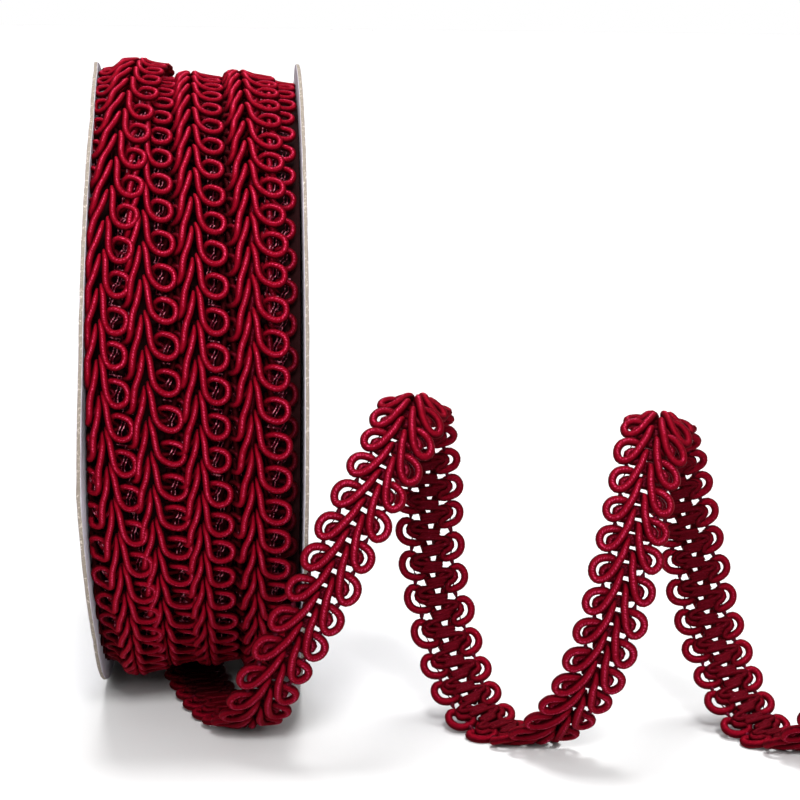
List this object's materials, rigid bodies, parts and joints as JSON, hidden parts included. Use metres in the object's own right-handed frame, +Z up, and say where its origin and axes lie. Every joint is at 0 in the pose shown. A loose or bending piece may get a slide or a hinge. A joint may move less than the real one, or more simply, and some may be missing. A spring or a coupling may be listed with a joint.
{
  "type": "roll of gimp braid trim",
  "caption": "Small card spool standing on its edge, wound with scroll gimp braid trim whose loose end runs off in standing arches.",
  "frame": {"origin": "middle of the whole footprint, on the surface it stands on", "axes": "+X along the spool's axis towards the loose end, +Z up; the loose end leaves the roll towards -Y"},
  "size_m": [0.1152, 0.1066, 0.1003],
  "materials": {
    "greyboard": "matt uncoated card with rough cut edges",
    "gimp_braid": "viscose-wrapped gimp cord with a satin sheen"
  },
  "bodies": {
    "root": {"flange_left": "greyboard", "flange_right": "greyboard", "braid_roll": "gimp_braid", "braid_tail": "gimp_braid"}
  },
  "joints": []
}
